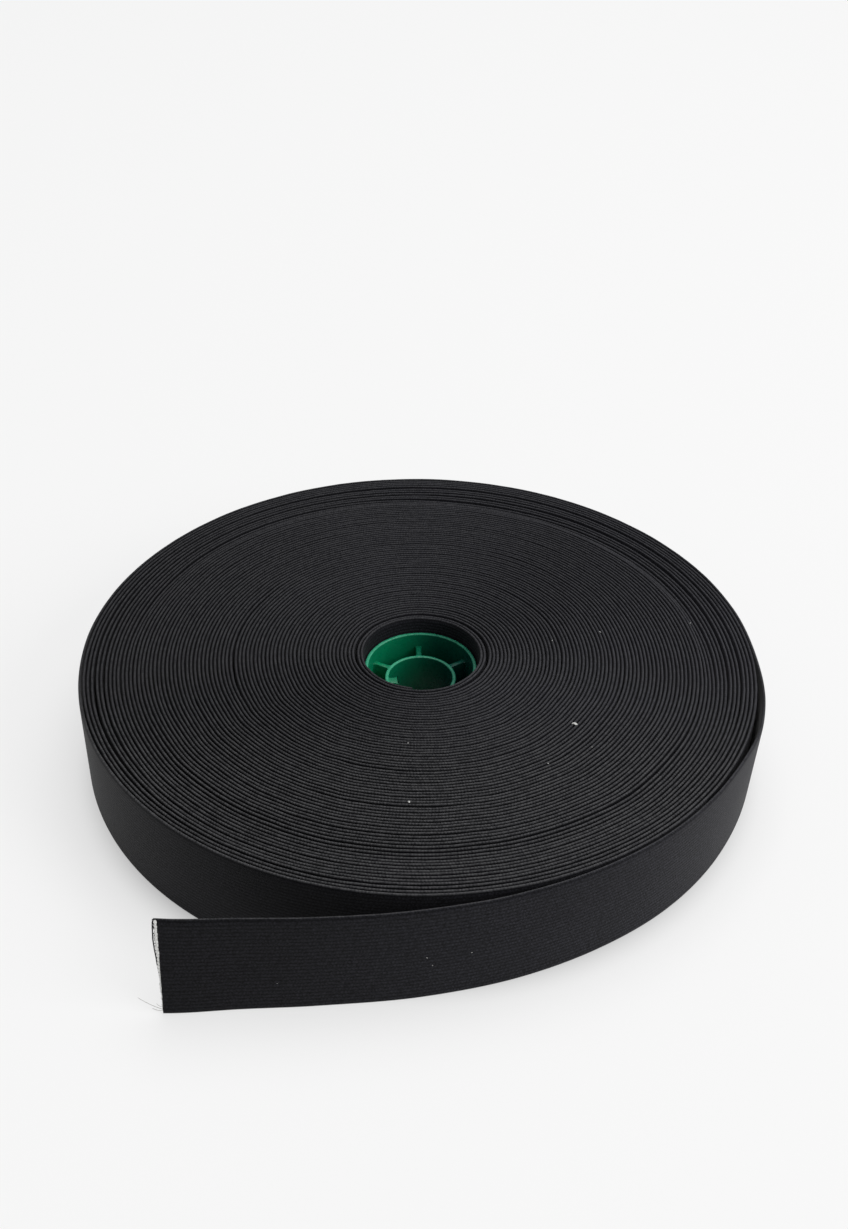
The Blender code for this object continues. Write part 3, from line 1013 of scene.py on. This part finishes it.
class ELASTIC_OT_loose_band(bpy.types.Operator):
    """Lay the outermost turn round the roll and run its end loose on the floor"""

    bl_idname = "elastic.loose_band"
    bl_label = "Outer Turn and Loose End"

    def execute(self, context):
        band = context.scene.elastic_band
        travelled, path, normals, lean, peel = loose_route()
        section = ribbed_section()
        across, height = section[:-1, 0], section[:-1, 1]
        up_share = height / band.width
        calm = np.clip(travelled / JOINT_FADE, 0.0, 1.0)
        wave = waves(travelled, LOOSE_LEAN_WAVES) * calm
        side = (across[None] * band.thickness / 2.0 + lean[:, None] * (up_share - 0.5)
                + wave[:, None] * up_share)
        edge = waves(travelled, LOOSE_TOP_WAVES) * calm
        near_top = height > band.width - 1.5 * MM
        rings = skin_rings(path, normals, side, height[None] + edge[:, None] * near_top)
        ahead = np.array([normals[-1, 1], -normals[-1, 0]])
        draw = np.random.default_rng(SEED + 13)
        ragged = draw.uniform(-CUT_RAGGED, CUT_RAGGED, len(across)) * MM
        skew = cut_skew(height) * (1.0 - across) / 2.0 - cut_slope(height) + ragged
        for k, share in ((-1, 1.0), (-2, 0.5)):
            rings[k, :, :2] += ahead * (skew * share)[:, None]

        mesh = tube_mesh("loose_band", rings, (travelled, section[:, 2]))
        piece = add_piece("loose_band", mesh, loose_material(peel))
        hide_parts("loose_end", "wound_roll")
        end = path[-1], normals[-1], ahead, float(lean[-1])
        trims = [self.rubber(end), self.frayed_yarn(end), self.stray_fibres(end),
                 self.lint(travelled, path, normals, lean)]
        return {"FINISHED"}

    @staticmethod
    def rubber(end):
        """Rubber threads that show in the cut, one for each rib."""
        band = bpy.context.scene.elastic_band
        rib = (band.width - 2.0 * band.crown) / band.ribs
        _, normal, ahead, _ = end
        turn = Matrix(((ahead[0], normal[0], 0.0), (ahead[1], normal[1], 0.0), (0.0, 0.0, 1.0)))
        draw = np.random.default_rng(SEED + 21)
        bm = bmesh.new()
        for i in range(band.ribs):
            height = band.crown + (i + 0.5) * rib
            out = draw.uniform(-0.10, 0.05) * MM
            share = (1.0 - 2.0 * out / band.thickness) / 2.0
            past = cut_skew(height) * share + draw.uniform(0.05, 0.40) * MM
            spot = Matrix.Translation(cut_point(end, height, out, past - 0.5 * MM))
            size = Matrix.Diagonal((0.95 * MM, draw.uniform(0.56, 0.64) * MM,
                                    draw.uniform(1.10, 1.30) * MM))
            bmesh.ops.create_icosphere(bm, subdivisions=2, radius=1.0,
                                       matrix=spot @ (turn @ size).to_4x4())
        tone = bpy.context.scene.elastic_finish.rubber
        piece = add_piece("cut_rubber", mesh_of(bm, "cut_rubber"),
                          plain_thread("white_rubber", tone, 0.6, 0.06))
        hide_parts("loose_end")
        return piece

    @staticmethod
    def frayed_yarn(end):
        """A yarn that frays from the inner face and bows away from the cut."""
        rise = np.linspace(0.0, 1.0, 26)
        height = (FRAY_TOP - FRAY_LENGTH * rise) * MM
        bow = (FRAY_BOW * np.sin(math.pi * rise ** 0.7)
               + 0.1 * drift_noise(rise * 9.0, SEED + 22)) * MM
        inside = 0.10 * MM - bpy.context.scene.elastic_band.thickness / 2.0
        points = [cut_point(end, 39.5 * MM, 0.1 * MM, 0.2 * MM)]
        points += [cut_point(end, z, inside, cut_skew(z) + b) for z, b in zip(height, bow)]
        mesh = tube_mesh("frayed_yarn", thread_rings(points, FRAY_RADIUS * MM, 8))
        tone = bpy.context.scene.elastic_finish.yarn_light
        piece = add_piece("frayed_yarn", mesh, plain_thread("black_yarn", tone))
        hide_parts("loose_end")
        return piece

    @staticmethod
    def stray_fibres(end):
        """Fine fibres that reach out from the cut over the floor."""
        bm = bmesh.new()
        for z, out, reach, climb, radius in STRAY_FIBRES:
            points = [cut_point(end, (z + climb * u - 0.5 * math.sin(math.pi * u)) * MM,
                                (out - 2.6 * u * reach / 9.0) * MM, reach * u * MM)
                      for u in np.linspace(0.0, 1.0, 16)]
            points = np.maximum(points, (-1.0, -1.0, 0.12 * MM))
            mesh = tube_mesh("strand", thread_rings(points, radius * MM, 5))
            bm.from_mesh(mesh)
            bpy.data.meshes.remove(mesh)
        piece = add_piece("stray_fibres", mesh_of(bm, "stray_fibres", 60.0),
                          plain_thread("pale_fibre", (0.42, 0.42, 0.38)))
        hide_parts("loose_end")
        return piece

    @staticmethod
    def lint(travelled, path, normals, lean):
        """Pale specks caught on the outer face of the loose end."""
        band = bpy.context.scene.elastic_band
        bm = bmesh.new()
        for from_cut, height, length, width in BAND_LINT:
            i = int(np.searchsorted(travelled, travelled[-1] - from_cut * MM))
            out = band.thickness / 2.0 + lean[i] * (height * MM / band.width - 0.5)
            flat = path[i] + normals[i] * (out + 0.04 * MM)
            speck(bm, (flat[0], flat[1], height * MM), length * MM, width * MM, from_cut)
        return add_piece("band_lint", mesh_of(bm, "band_lint"), lint_material())


class ELASTIC_OT_face_lint(bpy.types.Operator):
    """Scatter the few specks of lint on the wound face"""

    bl_idname = "elastic.face_lint"
    bl_label = "Lint on the Wound Face"

    def execute(self, context):
        bm = bmesh.new()
        centre = rim_centre()
        for share, degrees, length, width in FACE_LINT:
            turn = math.radians(degrees)
            radius = share * rim_radius(1.0)
            at = (centre[0] + radius * math.cos(turn), centre[1] + radius * math.sin(turn),
                  context.scene.elastic_band.width - 0.25 * MM)
            speck(bm, at, length * MM, width * MM, degrees)
        piece = add_piece("face_lint", mesh_of(bm, "face_lint"), lint_material())
        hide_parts("wound_roll")
        return {"FINISHED"}


class ELASTIC_OT_core(bpy.types.Operator):
    """Mould the core: outer tube, hub, spokes and key"""

    bl_idname = "elastic.core"
    bl_label = "Core"

    def execute(self, context):
        core = context.scene.elastic_core
        outer = (CORE_HIGH.x - CORE_LOW.x) / 2.0
        hub_bore = core.hub_radius - core.wall
        hub_base = CORE_LOW.z + core.hub_recess
        hub_top = CORE_HIGH.z - core.hub_recess
        bm = bmesh.new()
        self.tube(bm, outer, outer - core.wall, CORE_LOW.z, CORE_HIGH.z)
        self.tube(bm, core.hub_radius, hub_bore, hub_base, hub_top)
        for i in range(core.spokes):
            turn = core.first_spoke + i * FULL_TURN / core.spokes
            self.rib(bm, core.hub_radius - OVERLAP, outer - core.wall + OVERLAP,
                     core.spoke_width, hub_base + 0.0003, hub_top - 0.0003, turn)
        self.rib(bm, hub_bore - KEY_REACH, hub_bore + OVERLAP, KEY_WIDTH, hub_base + 0.001,
                 hub_top - 0.001, core.key_angle)
        bmesh.ops.translate(bm, vec=(AXIS.x, AXIS.y, 0.0), verts=bm.verts)
        piece = add_piece("reel_core", mesh_of(bm, "reel_core", 50.0), core_plastic())
        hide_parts("core")
        return {"FINISHED"}

    @staticmethod
    def tube(bm, outer, inner, base, top):
        """A turned tube whose four rims are rounded."""
        verts = []
        for radius in (outer, inner):
            verts += bmesh.ops.create_circle(bm, radius=radius, segments=TUBE_SIDES)["verts"]
        bmesh.ops.translate(bm, vec=(0.0, 0.0, base), verts=verts)
        loops = list({e for v in verts for e in v.link_edges})
        foot = bmesh.ops.bridge_loops(bm, edges=loops)["faces"]
        raise_solid(bm, foot, top - base, RIM_ROUNDING)

    @staticmethod
    def rib(bm, near, far, width, base, top, turn):
        """A radial rib that flares where it meets the two tubes."""
        reach = far - near
        flare_over = 0.0022
        shape = Matrix.Translation(((near + far) / 2.0, 0.0, base))
        flat = bmesh.ops.create_grid(bm, x_segments=24, y_segments=1, size=0.5, matrix=shape)
        for v in flat["verts"]:
            share = v.co.x - (near + far) / 2.0
            v.co.x = (near + far) / 2.0 + share * reach
            from_end = (0.5 - abs(share)) * reach
            flare = max(0.0, 1.0 - from_end / flare_over) ** 2 * 0.0011
            v.co.y *= width + 2.0 * flare
        foot = list({f for v in flat["verts"] for f in v.link_faces})
        verts = raise_solid(bm, foot, top - base, RIB_ROUNDING)
        bmesh.ops.rotate(bm, cent=(0.0, 0.0, 0.0), matrix=Matrix.Rotation(turn, 3, "Z"),
                         verts=verts)


class ELASTIC_OT_stage(bpy.types.Operator):
    """Set the pale floor, the soft lights and the camera"""

    bl_idname = "elastic.stage"
    bl_label = "Stage"

    def execute(self, context):
        self.floor(context)
        self.camera(context)
        for light in SOFTBOXES:
            self.softbox(*light)
        self.world(context)
        context.scene.view_settings.view_transform = "Standard"
        return {"FINISHED"}

    @staticmethod
    def floor(context):
        """The plain floor that the roll lies on."""
        bm = bmesh.new()
        bmesh.ops.create_grid(bm, x_segments=1, y_segments=1, size=FLOOR_SIZE)
        mesh = bpy.data.meshes.new("floor")
        bm.to_mesh(mesh)
        bm.free()
        mesh.materials.append(floor_finish())
        floor = bpy.data.objects.new("floor", mesh)
        context.scene.collection.objects.link(floor)

    @staticmethod
    def camera(context):
        """The camera, in front of the roll and above it."""
        stage = context.scene.elastic_stage
        centre = rim_centre()
        camera = bpy.data.objects.new("camera", bpy.data.cameras.new("camera"))
        camera.data.lens = stage.lens
        camera.data.sensor_width = 36.0
        camera.data.clip_start = 0.01
        camera.data.clip_end = 50.0
        camera.location = (centre[0], centre[1] - stage.camera_back, stage.camera_up)
        turn = (Matrix.Rotation(-stage.camera_yaw, 3, "Z")
                @ Matrix.Rotation(math.pi / 2.0 - stage.camera_pitch, 3, "X")
                @ Matrix.Rotation(stage.camera_roll, 3, "Z"))
        camera.rotation_euler = turn.to_euler()
        context.scene.collection.objects.link(camera)
        context.scene.camera = camera

    @staticmethod
    def world(context):
        """A plain white world, paler to the camera than it is as a light."""
        world = bpy.data.worlds.new("studio")
        world.use_nodes = True
        nodes = world.node_tree.nodes
        sky = nodes["Background"]
        sky.inputs["Color"].default_value = (1.0, 1.0, 1.0, 1.0)
        seen = nodes.new("ShaderNodeLightPath")
        strength = nodes.new("ShaderNodeMapRange")
        strength.inputs["To Min"].default_value = WORLD_AS_LIGHT
        strength.inputs["To Max"].default_value = WORLD_AS_BACKDROP
        world.node_tree.links.new(seen.outputs["Is Camera Ray"], strength.inputs["Value"])
        world.node_tree.links.new(strength.outputs[0], sky.inputs["Strength"])
        context.scene.world = world

    @staticmethod
    def softbox(name, place, size, power):
        """A square soft light that faces the roll."""
        light = bpy.data.lights.new(name, "AREA")
        light.shape = "SQUARE"
        light.size = size
        light.energy = power
        lamp = bpy.data.objects.new(name, light)
        lamp.location = place
        aim = Vector((0.0, 0.0, 0.02)) - Vector(place)
        lamp.rotation_euler = aim.to_track_quat("-Z", "Y").to_euler()
        bpy.context.scene.collection.objects.link(lamp)


class ELASTIC_PT_panel(bpy.types.Panel):
    """Lists the roll's sizes and its operators"""

    bl_idname = "ELASTIC_PT_panel"
    bl_label = "Roll of Elastic"
    bl_space_type = "VIEW_3D"
    bl_region_type = "UI"
    bl_category = "Elastic"

    def draw(self, context):
        """Draw the settings, then a button for each operator."""
        for group in ("elastic_band", "elastic_roll", "elastic_core", "elastic_finish",
                      "elastic_stage"):
            settings = getattr(context.scene, group)
            box = self.layout.box()
            for name in settings.__annotations__:
                box.prop(settings, name)
        for operator in OPERATORS:
            self.layout.operator(operator.bl_idname)


OPERATORS = (ELASTIC_OT_stage, ELASTIC_OT_wound_turns, ELASTIC_OT_loose_band,
             ELASTIC_OT_face_lint, ELASTIC_OT_core)
GROUPS = {
    "elastic_band": ElasticBandSettings,
    "elastic_roll": ElasticRollSettings,
    "elastic_core": ElasticCoreSettings,
    "elastic_finish": ElasticFinishSettings,
    "elastic_stage": ElasticStageSettings,
}


def register():
    """Register the settings, the operators and the panel."""
    for name, group in GROUPS.items():
        bpy.utils.register_class(group)
        setattr(bpy.types.Scene, name, PointerProperty(type=group))
    for item in (*OPERATORS, ELASTIC_PT_panel):
        bpy.utils.register_class(item)


def unregister():
    """Take everything out again."""
    for item in reversed((*OPERATORS, ELASTIC_PT_panel)):
        bpy.utils.unregister_class(item)
    for name, group in GROUPS.items():
        delattr(bpy.types.Scene, name)
        bpy.utils.unregister_class(group)


def main():
    """Build everything in order."""
    register()
    bpy.ops.elastic.stage()
    bpy.ops.elastic.wound_turns()
    bpy.ops.elastic.loose_band()
    bpy.ops.elastic.face_lint()
    bpy.ops.elastic.core()


if __name__ == "__main__":
    main()
